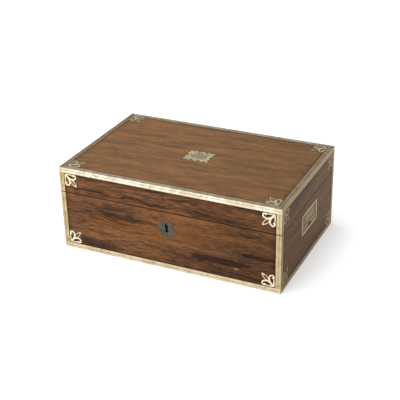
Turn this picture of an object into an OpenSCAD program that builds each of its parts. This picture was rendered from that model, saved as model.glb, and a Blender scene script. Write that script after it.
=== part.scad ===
// Antique fitted dressing box: a brass-bound rosewood case with a hinged lid, a box lock, two sunken
// side handles, a mirror in the lid, a lift-out tray and six lidded glass toilet pieces in wells.
// Millimetres, +Z up, origin under the middle of the case on the surface that it stands on.
// The front, with the lock, faces -Y.

/* [Case] */
// Width over the brass binding
case_w = 350; // [330:1:380]
// Depth over the brass binding
case_d = 226; // [218:1:240]
// Height over the brass binding
case_h = 133; // [131:1:145]
// Height of the line where the lid meets the base
seam_z = 93.5; // [93:0.5:94]
// Opening between lid and base along that line
seam_gap = 0.6; // [0.4:0.1:0.8]
// Thickness of the carcase boards
board_t = 8.5; // [8:0.5:9]
// Thickness of the rosewood veneer
veneer_t = 0.85; // [0.7:0.05:0.95]

/* [Brass binding] */
// Width of each leg of the angle strips
strip_w = 8; // [6:0.5:9]
// Thickness of the strips, which stand a little proud of the veneer
strip_t = 1; // [0.96:0.02:1.1]
// Distance of the engraved line from the outer edge
groove_at = 3; // [2:0.5:4]
// Width of the engraved line
groove_w = 0.6; // [0.3:0.1:0.8]
// Depth of the engraved line
groove_d = 0.35; // [0.2:0.05:0.5]
// Gap between neighbouring brass and wood, which old wax fills
joint_gap = 0.15; // [0.1:0.05:0.2]

/* [Inlay] */
// Reach of a corner trefoil along each edge
trefoil_l = 20.6; // [18:0.2:22]
// Width of its middle petal
petal_w = 6; // [5.4:0.1:6.4]
// Width of the brass line that draws it
line_w = 1.8; // [1.5:0.1:2]
// Width of the lid cartouche
cartouche_w = 41; // [36:1:50]
// Height of the lid cartouche
cartouche_h = 33; // [26:1:38]

/* [Handles] */
// Length of a handle plate
plate_l = 63; // [62:1:70]
// Height of a handle plate
plate_h = 32; // [31:1:36]
// Height of the middle of the plate above the ground
plate_z = 64; // [60:1:66]
// How far behind the middle of the side the plate sits
plate_y = 3.5; // [-3:0.5:4]

/* [Lock] */
// Width of the keyhole plate
escutcheon_w = 29.5; // [26:0.5:31]
// Height of the keyhole plate
escutcheon_h = 31; // [28:0.5:33]
// Height of the round part of the keyhole
key_z = 70.8; // [70:0.2:71.4]
// Radius of the round part of the keyhole
key_r = 3.2; // [2.8:0.1:3.4]
// Height of the foot of the keyhole
key_foot_z = 60.5; // [60:0.5:62]
// Travel of the lock bolt
bolt_travel = 4; // [3.5:0.1:4]

/* [Fittings] */
// Thickness of the partitions
wall_t = 3; // [2.5:0.1:3.2]
// Width of the wells at the two sides
side_well_w = 46; // [45:1:47]
// Depth of the wells along the back
back_well_d = 56.5; // [55:0.5:58]
// Height of the lift-out tray
tray_h = 22; // [20:1:22]

/* [Hidden] */
$fn = 48;

// Colours
rosewood = "#6b3f25";
mahogany = "#7a4a2c";
brass = "#c8b68a";
plate_metal = "#cfcabd";
steel = "#5c5c55";
velvet = "#2c2350";
glass = "#cfe0e0";

// Case planes. The skin is the layer outside the carcase boards, as thick as the strips.
skin = strip_t;
carcase_x = case_w / 2 - skin;
carcase_y = case_d / 2 - skin;
carcase_top = case_h - skin;
inner_x = carcase_x - board_t;
inner_y = carcase_y - board_t;
baize_t = 1.2;
strip_foot = 0.2; // the baize stands this much below the brass
bottom_t = 8;
floor_z = baize_t + bottom_t;
rim_z = seam_z - seam_gap / 2; // top of the base
lid_z = seam_z + seam_gap / 2; // underside of the lid
lid_inner_z = carcase_top - board_t;
panel_x = case_w / 2 - strip_w; // where the strips end and the panels begin
panel_y = case_d / 2 - strip_w;
lid_panel_top = case_h - strip_w;
base_panel_foot = strip_foot + strip_w;

// Hinges
hinge_r = 2.2;
hinge_y = case_d / 2 + hinge_r; // the barrels stand behind the case
hinge_l = 50;
hinge_x = 95;
leaf_t = 1.2;
leaf_d = 8.5; // how far a leaf reaches over the rim
pin_r = 1;
knuckles = 5;
knuckle_gap = 0.15;

// Screws
screw_r = 1;
screw_head_r = 2.1;
screw_head_h = 1.1;
screw_l = 6;

// Lock
lock_w = 62;
lock_d = 7;
lock_foot_z = 57;
lock_plate_t = 1.5;
selvedge_t = 1.5;
staple_x = [-14, 14];
staple_w = 3.4;
staple_t = 1.8;
staple_l = 9.5;
bolt_z = 87; // middle of the hole in a staple
bar_z = 79.8;
bar_h = 3;
nib_short = 0.6; // gap between a nib and its staple when unlocked
works_y = 0.8; // how far the bolt reaches behind the middle of the lock
lever_x = -15;
lever_z = 78;
lock_mid_y = -inner_y - 3.9; // middle of the lock's working space

// Handles
plate_t = 1.6;
cup_d = 6.2; // depth of the sunk cup, over its 1 mm bottom
cup_wall = 1;
cup_l = plate_l - 10;
cup_h = plate_h - 7;
bail_t = 3.4;
bail_arm = 5;
bail_grip = 8;
bail_fit = 0.6; // gap round the bail
bail_pivot_z = plate_z + cup_h / 2 - bail_fit - bail_t / 2;
bail_pin_r = 1.1;
bail_foot_z = plate_z - cup_h / 2 + 1.2;
nick_r = 6; // nick for a fingertip in the grip's lower edge
scoop_r = 8; // conical scoop for it in the plate's lower border
scoop_z = plate_z - plate_h / 2 + 1.2 + scoop_r;

// Lid fittings
lid_lining_t = 2;
mirror_w = 262;
mirror_d = 160;
frame_w = 13;
frame_h = 5;
mirror_t = 2;
mirror_lip = 1.4; // of the frame in front of the glass
frame_top_z = lid_inner_z - lid_lining_t;
frame_z = frame_top_z - frame_h;
button_t = 1.4;
button_x = mirror_w / 2 + 5.2;

// Base fittings
lining_t = 1.2;
lined_z = floor_z + lining_t;
wall_top = 91.5;
side_wall_x = inner_x - side_well_w - wall_t / 2;
cross_wall_y = inner_y - back_well_d - wall_t / 2;
well_span = 2 * side_wall_x - wall_t; // between the two long walls
back_well_w = (well_span - 3 * wall_t) / 4;
fit = 0.1; // of a dropped-in wooden part
side_floor_z = 40;
back_floor_z = 17;
rest_h = 3;
rest_w = 4;
tray_z = rim_z - 0.9 - tray_h;
tray_x = side_wall_x - wall_t / 2 - 1.2;
tray_y0 = -inner_y + 1.2;
tray_y1 = cross_wall_y - wall_t / 2 - 1.2;
tray_wall = 2.6;
tray_floor = 2;
tray_row_y = -58; // between the front compartment and those behind it
tray_bay_x = 38; // middle bay's half width
tray_lining_t = 1;
roll_r = 5.4;
rolls = 7;

// Glass pieces
box_w = 41;
box_l = 196;
box_h = 44;
glass_t = 3;
neck_h = 6;
neck_in = 1.6;
box_lid_h = 11;
lid_wall = 1.1;
lid_play = 0.25;
jar_r = 25;
jar_h = 62;
jar_lid_h = 12;
bottle_w = 50;
bottle_h = 58;
bottle_neck_r = 9;
bottle_neck_l = 9;
cap_r = 12.5;
cap_h = 14;
box_x = inner_x - side_well_w / 2;
back_y = inner_y - back_well_d / 2;
jar_x = (back_well_w + wall_t) / 2;
bottle_x = 3 * jar_x;
box_z = side_floor_z + wall_t;
back_z = back_floor_z + wall_t;

// Helpers

// A block between its lowest and highest corners
module block(lo, hi) translate(lo) cube(hi - lo);

// The same on both sides of the YZ plane
module both_sides() {
    children();
    mirror([1, 0, 0]) children();
}

// 2D shapes stood on the outside of the carcase: X runs along the face and Y is height
module on_front() translate([0, -carcase_y, 0]) rotate([90, 0, 0]) children();
module on_back() translate([0, carcase_y, 0]) rotate([90, 0, 180]) children();
module on_right() translate([carcase_x, 0, 0]) rotate([90, 0, 90]) children();
module on_left() translate([-carcase_x, 0, 0]) rotate([90, 0, -90]) children();
module on_top() translate([0, 0, carcase_top]) children();

// A countersunk screw, head up, its top at the origin, grown by g where it is used as a hole
module screw(g = 0, l = screw_l) {
    translate([0, 0, -screw_head_h - g / 2])
        cylinder(h = screw_head_h + g / 2, r1 = screw_r + g, r2 = screw_head_r + g);
    translate([0, 0, -l - g]) cylinder(h = l + g - screw_head_h / 2, r = screw_r + g);
}

// Outline of a pointed petal along +X
function petal(l, w, n = 9) = concat(
    [for (i = [0:n]) [l * i / n, w / 2 * pow(sin(180 * i / n), 0.8)]],
    [for (i = [n - 1:-1:1]) [l * i / n, -w / 2 * pow(sin(180 * i / n), 0.8)]]
);

// Points of a curve from a to d that sets off towards b and comes in from c
function bend(a, b, c, d, n = 7) = [
    for (i = [0:n]) let (t = i / n, s = 1 - t)
        s * s * s * a + 3 * s * s * t * b + 3 * s * t * t * c + t * t * t * d
];

// A line through points p whose half width goes evenly from w0 to w1
module stroke(p, w0, w1) {
    n = len(p) - 1;
    side = [for (i = [0:n]) let (d = p[min(i + 1, n)] - p[max(i - 1, 0)]) [-d[1], d[0]] / norm(d)];
    w = [for (i = [0:n]) w0 + (w1 - w0) * i / n];
    polygon(concat([for (i = [0:n]) p[i] + side[i] * w[i]], [for (i = [n:-1:0]) p[i] - side[i] * w[i]]));
}

// Corner trefoil in the first quadrant: a stem, a pointed middle petal on the diagonal, and on each
// side a scroll that curls back to a ball beside the band, with a lower line that closes its loop.
// g grows it, for the pocket in the veneer.
module trefoil(g = 0) {
    u = trefoil_l / 20.6;
    half = line_w / 2 + g;
    root = 8 * u;
    reach = (20.6 * u - root) * sqrt(2);
    stroke([[1.7, 1.7], [4.5, 4.5], [7, 7], [9.4, 9.4]] * u, 1.1 + g, 1.7 + g);
    translate([root, root]) rotate(45) difference() {
        translate([-g, 0]) polygon(petal(reach + 2.4 * g, petal_w + 2 * g));
        translate([1.6 * line_w + g, 0]) polygon(petal(reach - 3 * line_w - 2 * g, petal_w - 2 * half));
    }
    for (flip = [0, 1]) mirror(flip ? [1, -1] : [0, 0]) {
        stroke(concat(
            bend([3, 2.8] * u, [7, 7.8] * u, [12, 10.2] * u, [16.2, 8.9] * u),
            [for (i = [1:7]) bend([16.2, 8.9] * u, [20.6, 7.4] * u, [20.8, 2] * u, [16.6, 2] * u)[i]]
        ), half + 0.35, half);
        translate([15.6, 2.8] * u) circle(r = 1.75 + g, $fn = 24);
        stroke(bend([2.6, 2.6] * u, [5, 1.9] * u, [9, 1.5] * u, [14.6, 2.4] * u), 1.1 + g, 0.6 + g);
    }
}

// The two trefoils at the upper (up = -1) or lower (up = 1) corners of a face
module trefoil_pair(half, z, up, g = 0) for (side = [1, -1])
    translate([side * half, z]) mirror([side > 0 ? 1 : 0, 0, 0])
        mirror([0, up < 0 ? 1 : 0, 0]) trefoil(g);

// Rounded body of the cartouche
function cartouche_body(w, h) = [
    for (i = [0:35]) let (a = 10 * i)
        [w / 2 * cos(a), h / 2 * sin(a)] * pow(pow(abs(cos(a)), 3) + pow(abs(sin(a)), 3), -1 / 3)
];

// Cartouche: a rounded body with three leaf tips at each corner and a shell at the top and bottom.
// g grows it, for the pocket in the veneer, and a negative g draws the engraved line inside it.
module cartouche(g = 0) {
    w = cartouche_w / 2;
    h = cartouche_h / 2;
    polygon(cartouche_body(1.66 * w + 2 * g, 1.56 * h + 2 * g));
    for (x = [0, 1], y = [0, 1]) mirror([x, 0]) mirror([0, y]) {
        for (leaf = [[0.56, 0.5, 38, 0.54], [0.66, 0.3, 14, 0.35], [0.4, 0.56, 62, 0.4]])
            translate([leaf[0] * w, leaf[1] * h]) rotate(leaf[2]) translate([-g, 0])
                polygon(petal(leaf[3] * w + 2.2 * g, 0.3 * w + 2 * g));
    }
    for (y = [-1, 1]) translate([0, y * 0.72 * h]) circle(r = 0.28 * h + g);
}

// Rounded lozenge of the keyhole plate
function lozenge(w, h) = [
    for (i = [0:35]) let (a = 10 * i, n = 1.6)
        [w / 2 * cos(a), h / 2 * sin(a)] * pow(pow(abs(cos(a)), n) + pow(abs(sin(a)), n), -1 / n)
];

// Keyhole: a round part with a slot that spreads a little towards its foot
module keyhole(g = 0) {
    translate([0, key_z]) circle(r = key_r + g, $fn = 32);
    polygon([
        [-1.5 - g, key_z], [1.5 + g, key_z], [2.1 + g, key_foot_z - g], [-2.1 - g, key_foot_z - g]
    ]);
}

// The strips' prism over one long or short side, cut back at 45 degrees for the mitres
module mitre_prism(w, d) {
    reach = strip_w + 2;
    cut = 0.05;
    translate([0, 0, -1]) linear_extrude(case_h + 2) polygon([
        [-w / 2 - 1 + cut, -d / 2 - 1], [w / 2 + 1 - cut, -d / 2 - 1],
        [w / 2 - reach - cut, -d / 2 + reach], [-w / 2 + reach + cut, -d / 2 + reach]
    ]);
}

// An angle strip along the front edge of a w by d plan, its outer edge at height z;
// down = 1 puts the upright leg below z, down = -1 above it
module edge_strip(w, d, z, down) intersection() {
    mitre_prism(w, d);
    translate([0, 0, z]) mirror([0, 0, down > 0 ? 1 : 0]) difference() {
        union() {
            block([-w / 2, -d / 2, 0], [w / 2, -d / 2 + strip_t, strip_w]);
            block([-w / 2, -d / 2, 0], [w / 2, -d / 2 + strip_w, strip_t]);
        }
        block([-w, -d / 2 - 1, groove_at], [w, -d / 2 + groove_d, groove_at + groove_w]);
        block([-w, -d / 2 + groove_at, -1], [w, -d / 2 + groove_at + groove_w, groove_d]);
    }
}

// The four mitred strips round one horizontal edge loop of the case
module edge_strips(z, down) for (turn = [0, 90, 180, 270]) rotate(turn)
    if (turn % 180 == 0) edge_strip(case_w, case_d, z, down);
    else edge_strip(case_d, case_w, z, down);

// Upright angle strips at the four corners, between two heights
module corner_strips(z0, z1) for (x = [1, -1], y = [1, -1])
    mirror([x > 0 ? 1 : 0, 0, 0]) mirror([0, y > 0 ? 1 : 0, 0])
        translate([-case_w / 2, -case_d / 2, z0]) difference() {
            union() {
                cube([strip_w, strip_t, z1 - z0]);
                cube([strip_t, strip_w, z1 - z0]);
            }
            block([groove_at, -1, -1], [groove_at + groove_w, groove_d, z1 - z0 + 1]);
            block([-1, groove_at, -1], [groove_d, groove_at + groove_w, z1 - z0 + 1]);
        }

// Places of the hinge screws over the rim
module at_hinge_screws() for (side = [-1, 1], i = [-1, 0, 1])
    translate([side * hinge_x + 17 * i, carcase_y - 4.2, 0]) children();

// Notches for the hinge leaves, from height z0 to z1
module hinge_notches(z0, z1) both_sides()
    block([hinge_x - hinge_l / 2 - joint_gap, carcase_y - leaf_d, z0],
          [hinge_x + hinge_l / 2 + joint_gap, case_d / 2 + 1, z1]);

// Pocket that the handle cup and plate are let into, as a 2D shape on a side face
module plate_pocket(g) translate([plate_y - plate_l / 2 - g, plate_z - plate_h / 2 - g])
    square([plate_l + 2 * g, plate_h + 2 * g]);

// Base carcase

module base_front_board() color(mahogany) difference() {
    block([-inner_x, -carcase_y, floor_z], [inner_x, -inner_y, rim_z]);
    block([-lock_w / 2 - fit, -inner_y - lock_d, lock_foot_z - fit], [lock_w / 2 + fit, 0, rim_z + 1]);
    on_front() translate([0, 0, -board_t]) linear_extrude(board_t + 1) keyhole(0.2);
}

module base_back_board() color(mahogany) difference() {
    block([-inner_x, inner_y, floor_z], [inner_x, carcase_y, rim_z]);
    hinge_notches(rim_z - leaf_t, rim_z + 1);
    translate([0, 0, rim_z]) at_hinge_screws() screw(0.05);
}

module base_end_board(face) difference() {
    mirror([face < 0 ? 1 : 0, 0, 0])
        block([inner_x, -carcase_y, floor_z], [carcase_x, carcase_y, rim_z]);
    mirror([face < 0 ? 1 : 0, 0, 0]) {
        on_right() translate([0, 0, -plate_t + skin]) linear_extrude(5) plate_pocket(0.1);
        on_right() translate([plate_y, plate_z, skin - cup_d]) linear_extrude(cup_d)
            square([cup_l + 2 * (cup_wall + fit), cup_h + 2 * (cup_wall + fit)], center = true);
        at_plate_screws() screw(0.05);
    }
}

module base_left_board() color(mahogany) base_end_board(-1);
module base_right_board() color(mahogany) base_end_board(1);

module base_bottom_board() color(mahogany)
    block([-carcase_x, -carcase_y, baize_t], [carcase_x, carcase_y, floor_z]);

module base_baize() color("#2f4a35")
    block([-panel_x + joint_gap, -panel_y + joint_gap, 0],
          [panel_x - joint_gap, panel_y - joint_gap, baize_t]);

// One upright panel of the base veneer, half wide, with its lower trefoils cut out
module base_panel(half, inlaid) difference() {
    translate([-half + joint_gap, base_panel_foot + joint_gap])
        square([2 * (half - joint_gap), rim_z - base_panel_foot - joint_gap]);
    if (inlaid) trefoil_pair(half, base_panel_foot, 1, joint_gap);
}

module base_veneers() color(rosewood) {
    on_front() linear_extrude(veneer_t) difference() {
        base_panel(panel_x, true);
        translate([0, (key_z + key_foot_z) / 2]) polygon(lozenge(escutcheon_w + 0.3, escutcheon_h + 0.3));
    }
    difference() {
        on_back() linear_extrude(veneer_t) base_panel(panel_x, false);
        hinge_notches(rim_z - leaf_t, rim_z + 1);
    }
    both_sides() on_right() linear_extrude(veneer_t) difference() {
        base_panel(panel_y, true);
        plate_pocket(joint_gap);
    }
}

module base_corner_strips() color(brass) corner_strips(base_panel_foot + 0.1, rim_z);

module base_bottom_strips() color(brass) edge_strips(strip_foot, -1);

module base_corner_inlays() color(brass) {
    on_front() linear_extrude(skin - 0.05) trefoil_pair(panel_x, base_panel_foot, 1);
    both_sides() on_right() linear_extrude(skin - 0.05) trefoil_pair(panel_y, base_panel_foot, 1);
}

// Lock

module keyhole_escutcheon() color(steel) on_front() linear_extrude(skin - 0.02) difference() {
    translate([0, (key_z + key_foot_z) / 2]) polygon(lozenge(escutcheon_w, escutcheon_h));
    keyhole();
}

// Plate on the inner face with the selvedge along the rim, the pin that a hollow key turns on and
// the pin that carries the lever
module lock_case() color(brass) {
    difference() {
        union() {
            block([-lock_w / 2, -inner_y - lock_plate_t, lock_foot_z], [lock_w / 2, -inner_y, rim_z]);
            block([-lock_w / 2, -inner_y - lock_d, rim_z - selvedge_t], [lock_w / 2, -inner_y, rim_z]);
        }
        for (x = staple_x) block([x - staple_t / 2 - 0.6, lock_mid_y - staple_w / 2 - 0.6, rim_z - 5],
                                 [x + staple_t / 2 + 0.6, lock_mid_y + staple_w / 2 + 0.6, rim_z + 1]);
        at_lock_screws() screw(0.05);
    }
    translate([0, -inner_y - lock_plate_t, key_z]) rotate([90, 0, 0]) cylinder(h = 5.6, r = 1.1);
    translate([lever_x, -inner_y - lock_plate_t, lever_z]) rotate([90, 0, 0]) cylinder(h = 1.6, r = 1.1);
}

module at_lock_screws() for (x = [-26, 26]) translate([x, -inner_y, lock_foot_z + 8]) rotate([-90, 0, 0])
    children();

// Cover on the lock's outer side, with the keyhole through it, on two posts
module lock_cover() color(brass) {
    y0 = -inner_y - lock_d + 0.1;
    difference() {
        block([-24, y0, lock_foot_z + 2], [24, y0 + 0.9, bar_z + bar_h]);
        translate([0, y0 + 2, 0]) rotate([90, 0, 0]) linear_extrude(4) keyhole(0.4);
    }
    for (x = [-21.7, 21.7]) translate([x, y0 + 0.8, 75]) rotate([-90, 0, 0])
        cylinder(h = lock_d - lock_plate_t - 0.95, r = 1.5);
}

// Lever that holds the bolt, with its pivot hole, its gate and the long spring arm that presses it
module lock_lever() color(brass) translate([lever_x, -inner_y - lock_plate_t - 0.4, lever_z])
    rotate([90, 0, 0]) linear_extrude(1) difference() {
        union() {
            circle(r = 3.4);
            translate([0, -2]) square([26, 4]);
            translate([-2.4, -5.4]) rotate(7) square([30, 0.8]);
            translate([-2.6, -5.4]) square([3, 3.4]);
        }
        circle(r = 1.2);
        translate([9, 0.6]) square([bolt_travel, 2]);
    }

// Bolt bar with a tail for the key and two nibs that slide to +X through the staples
module lock_bolt() color(steel) {
    y0 = lock_mid_y - 1;
    y1 = lock_mid_y + works_y;
    behind = staple_t / 2 + nib_short + bolt_travel; // a shoulder's place behind its staple
    block([-24, y0, bar_z], [18, y1, bar_z + bar_h]);
    difference() {
        block([-6, y0, bar_z - 4.4], [6, y1, bar_z + 0.1]);
        translate([0, y0 - 1, bar_z - 5]) rotate([-90, 0, 0]) cylinder(h = 5, r = 2.6);
    }
    for (x = staple_x) {
        block([x - behind - 2.5, y0, bar_z + bar_h - 0.1], [x - behind, y1, bolt_z + 1]);
        block([x - behind - 0.1, lock_mid_y - 0.6, bolt_z - 1],
              [x - staple_t / 2 - nib_short, lock_mid_y + 0.6, bolt_z + 1]);
    }
}

// Plate in the lid's rim with two staples, each with a hole that its nib slides into
module link_plate() color(brass) difference() {
    union() {
        block([-lock_w / 2, -inner_y - lock_d, lid_z], [lock_w / 2, -inner_y, lid_z + selvedge_t]);
        for (x = staple_x) block([x - staple_t / 2, lock_mid_y - staple_w / 2, rim_z - staple_l],
                                 [x + staple_t / 2, lock_mid_y + staple_w / 2, lid_z + 0.1]);
    }
    for (x = staple_x)
        block([x - 3, lock_mid_y - 0.9, bolt_z - 1.5], [x + 3, lock_mid_y + 0.9, bolt_z + 1.5]);
    at_link_screws() screw(0.05);
}

module at_link_screws() for (x = [-26, 26]) translate([x, lock_mid_y, lid_z]) rotate([180, 0, 0])
    children();

// Hinges: one leaf in each rim, five knuckles on one pin

module knuckle_row(first, bore) for (side = [-1, 1], i = [first:2:knuckles - 1])
    translate([side * hinge_x - hinge_l / 2 + i * hinge_l / knuckles + knuckle_gap / 2, 0, 0])
        children();

module hinge_leaf(first, bore, z0, z1) difference() {
    union() {
        both_sides() block([hinge_x - hinge_l / 2, carcase_y - leaf_d + fit, z0],
                           [hinge_x + hinge_l / 2, case_d / 2 - 0.15, z1]);
        knuckle_row(first) {
            block([0, case_d / 2 - 1, z0], [hinge_l / knuckles - knuckle_gap, hinge_y, z1]);
        }
        knuckle_row(first) translate([0, hinge_y, seam_z]) rotate([0, 90, 0])
            cylinder(h = hinge_l / knuckles - knuckle_gap, r = hinge_r);
    }
    both_sides() translate([hinge_x - hinge_l, hinge_y, seam_z]) rotate([0, 90, 0])
        cylinder(h = 2 * hinge_l, r = bore);
}

module hinge_base_leaves() color(brass) difference() {
    hinge_leaf(0, pin_r + 0.02, rim_z - leaf_t, rim_z);
    translate([0, 0, rim_z]) at_hinge_screws() screw(0.05);
}

module hinge_lid_leaves() color(brass) difference() {
    hinge_leaf(1, pin_r + 0.05, lid_z, lid_z + leaf_t);
    translate([0, 0, lid_z]) at_hinge_screws() rotate([180, 0, 0]) screw(0.05);
}

module hinge_pins() color(steel) both_sides()
    translate([hinge_x - hinge_l / 2, hinge_y, seam_z]) rotate([0, 90, 0]) cylinder(h = hinge_l, r = pin_r);

module base_screws() color(brass) {
    translate([0, 0, rim_z]) at_hinge_screws() screw();
    both_sides() at_plate_screws() screw();
    at_lock_screws() screw();
}

module lid_screws() color(brass) {
    translate([0, 0, lid_z]) at_hinge_screws() rotate([180, 0, 0]) screw();
    at_link_screws() screw();
}

// Handles, drawn for the right side

module at_plate_screws() for (y = [-1, 1], z = [-1, 1])
    translate([case_w / 2, plate_y + y * (plate_l / 2 - 2.6), plate_z + z * (plate_h / 2 - 2.6)])
        rotate([0, 90, 0]) children();

// Plate with its sunk cup, which has bores for the bail's pins, an island that fills the bail's
// middle level with the plate, and a scoop for a fingertip under the grip
module handle_plate() translate([case_w / 2, plate_y, 0]) {
    island_y = cup_l / 2 - bail_arm - 2 * bail_fit;
    difference() {
        union() {
            block([-plate_t, -plate_l / 2, plate_z - plate_h / 2], [0, plate_l / 2, plate_z + plate_h / 2]);
            block([-cup_d, -cup_l / 2 - cup_wall, plate_z - cup_h / 2 - cup_wall],
                  [-plate_t / 2, cup_l / 2 + cup_wall, plate_z + cup_h / 2 + cup_wall]);
        }
        block([-cup_d + cup_wall, -cup_l / 2, plate_z - cup_h / 2], [1, cup_l / 2, plate_z + cup_h / 2]);
        translate([-scoop_r + 1, 0, scoop_z]) rotate([0, 90, 0])
            cylinder(h = scoop_r, r1 = scoop_r - 7 / 8 * (scoop_r - 1) - 0.2, r2 = scoop_r + 0.7);
        translate([-bail_t / 2, 0, bail_pivot_z]) rotate([90, 0, 0])
            cylinder(h = cup_l + 1.6 * cup_wall, r = bail_pin_r + 0.05, center = true);
        translate([-case_w / 2, -plate_y, 0]) at_plate_screws() screw(0.05);
    }
    block([-cup_d + cup_wall / 2, -island_y, bail_foot_z + bail_grip + bail_fit],
          [-0.05, island_y, plate_z + cup_h / 2 + 0.1]);
}

// Flat bail that hangs in the cup from two pins
module handle_bail() translate([case_w / 2, plate_y, 0]) {
    half = cup_l / 2 - bail_fit;
    difference() {
        union() {
            block([-bail_t, -half, bail_foot_z], [0, half, bail_pivot_z]);
            for (y = [-half, half - bail_arm]) translate([-bail_t / 2, y + bail_arm, bail_pivot_z])
                rotate([90, 0, 0]) cylinder(h = bail_arm, r = bail_t / 2);
        }
        block([-bail_t - 1, -half + bail_arm, bail_foot_z + bail_grip], [1, half - bail_arm, case_h]);
        translate([0, 0, bail_foot_z - 1.5]) rotate([0, 90, 0]) cylinder(h = 20, r = nick_r, center = true);
    }
    for (side = [-1, 1]) translate([-bail_t / 2, side * (half + 0.45), bail_pivot_z]) rotate([90, 0, 0])
        cylinder(h = 1.3, r = bail_pin_r, center = true);
}

module handle_plate_right() color(brass) handle_plate();
module handle_plate_left() color(brass) mirror([1, 0, 0]) handle_plate();
module handle_bail_right() color(brass) handle_bail();
module handle_bail_left() color(brass) mirror([1, 0, 0]) handle_bail();

// Lid

module lid_top_board() color(mahogany)
    block([-carcase_x, -carcase_y, lid_inner_z], [carcase_x, carcase_y, carcase_top]);

module lid_front_board() color(mahogany) difference() {
    block([-inner_x, -carcase_y, lid_z], [inner_x, -inner_y, lid_inner_z]);
    block([-lock_w / 2 - fit, -inner_y - lock_d - fit, lid_z - 1],
          [lock_w / 2 + fit, 0, lid_z + selvedge_t]);
    at_link_screws() screw(0.05);
}

module lid_back_board() color(mahogany) difference() {
    block([-inner_x, inner_y, lid_z], [inner_x, carcase_y, lid_inner_z]);
    hinge_notches(lid_z - 1, lid_z + leaf_t);
    translate([0, 0, lid_z]) at_hinge_screws() rotate([180, 0, 0]) screw(0.05);
}

module lid_right_board() color(mahogany)
    block([inner_x, -carcase_y, lid_z], [carcase_x, carcase_y, lid_inner_z]);
module lid_left_board() color(mahogany) mirror([1, 0, 0]) lid_right_board();

module lid_panel(half, inlaid) difference() {
    translate([-half + joint_gap, lid_z])
        square([2 * (half - joint_gap), lid_panel_top - joint_gap - lid_z]);
    if (inlaid) trefoil_pair(half, lid_panel_top, -1, joint_gap);
}

module lid_top_trefoils(g = 0) for (up = [-1, 1]) trefoil_pair(panel_x, -up * panel_y, up, g);

module lid_veneers() color(rosewood) {
    on_front() linear_extrude(veneer_t) lid_panel(panel_x, true);
    difference() {
        on_back() linear_extrude(veneer_t) lid_panel(panel_x, false);
        hinge_notches(lid_z - 1, lid_z + leaf_t);
    }
    both_sides() on_right() linear_extrude(veneer_t) lid_panel(panel_y, true);
    on_top() linear_extrude(veneer_t) difference() {
        square([2 * (panel_x - joint_gap), 2 * (panel_y - joint_gap)], center = true);
        lid_top_trefoils(joint_gap);
        cartouche(joint_gap);
    }
}

module lid_corner_strips() color(brass) corner_strips(lid_z, lid_panel_top - 0.1);

module lid_top_strips() color(brass) edge_strips(case_h, 1);

module lid_corner_inlays() color(brass) {
    on_front() linear_extrude(skin - 0.05) trefoil_pair(panel_x, lid_panel_top, -1);
    both_sides() on_right() linear_extrude(skin - 0.05) trefoil_pair(panel_y, lid_panel_top, -1);
    on_top() linear_extrude(skin - 0.05) lid_top_trefoils();
}

// Vacant cartouche with one engraved line inside its edge
module lid_cartouche() color(plate_metal) on_top() difference() {
    linear_extrude(skin - 0.05) cartouche();
    translate([0, 0, skin - 0.3]) linear_extrude(1) difference() {
        polygon(cartouche_body(1.46 * cartouche_w / 2, 1.32 * cartouche_h / 2));
        polygon(cartouche_body(1.46 * cartouche_w / 2 - 1.2, 1.32 * cartouche_h / 2 - 1.2));
    }
}

module lid_lining() color(velvet) difference() {
    block([-inner_x + fit, -inner_y + fit, frame_top_z], [inner_x - fit, inner_y - fit, lid_inner_z]);
    for (side = [-1, 1]) translate([side * button_x, 0, frame_top_z - 1]) cylinder(h = 9, r = 1.1);
}

// Moulded frame, rebated behind for the glass
module mirror_frame() color(rosewood) {
    sight = [mirror_w / 2 - frame_w, mirror_d / 2 - frame_w];
    rebate = sight + [4, 4];
    difference() {
        block([-mirror_w / 2, -mirror_d / 2, frame_z], [mirror_w / 2, mirror_d / 2, frame_top_z]);
        block([-sight[0], -sight[1], 0], [sight[0], sight[1], case_h]);
        block([-rebate[0], -rebate[1], frame_z + mirror_lip], [rebate[0], rebate[1], case_h]);
    }
}

module mirror_glass() color("#d8dde0")
    block([-mirror_w / 2 + frame_w - 3.8, -mirror_d / 2 + frame_w - 3.8, frame_z + mirror_lip + 0.05],
          [mirror_w / 2 - frame_w + 3.8, mirror_d / 2 - frame_w + 3.8, frame_z + mirror_lip + mirror_t]);

// Turn button that overlaps the frame, on a pin through the lining
module mirror_button() color(brass) translate([button_x, 0, 0]) {
    translate([0, 0, frame_z - button_t - 0.2]) linear_extrude(button_t)
        polygon([for (a = [0:10:350]) [8 * cos(a), 3.4 * sin(a)]]);
    translate([0, 0, frame_z - 0.4]) cylinder(h = frame_h + 0.2, r = 2.2);
    translate([0, 0, frame_z]) cylinder(h = frame_h + lid_lining_t - 0.1, r = 1);
}

module mirror_button_right() mirror_button();
module mirror_button_left() mirror([1, 0, 0]) mirror_button();

// Fittings of the base

module floor_lining() color(velvet)
    block([-inner_x + fit, -inner_y + fit, floor_z], [inner_x - fit, inner_y - fit, lined_z]);

module well_partitions() color(rosewood) {
    both_sides() block([side_wall_x - wall_t / 2, -inner_y + fit, lined_z],
                       [side_wall_x + wall_t / 2, inner_y - fit, wall_top]);
    block([-well_span / 2 + fit, cross_wall_y - wall_t / 2, lined_z],
          [well_span / 2 - fit, cross_wall_y + wall_t / 2, wall_top]);
    for (i = [-1:1]) block([i * 2 * jar_x - wall_t / 2, cross_wall_y + wall_t / 2 + fit, lined_z],
                           [i * 2 * jar_x + wall_t / 2, inner_y - fit, wall_top]);
}

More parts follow.
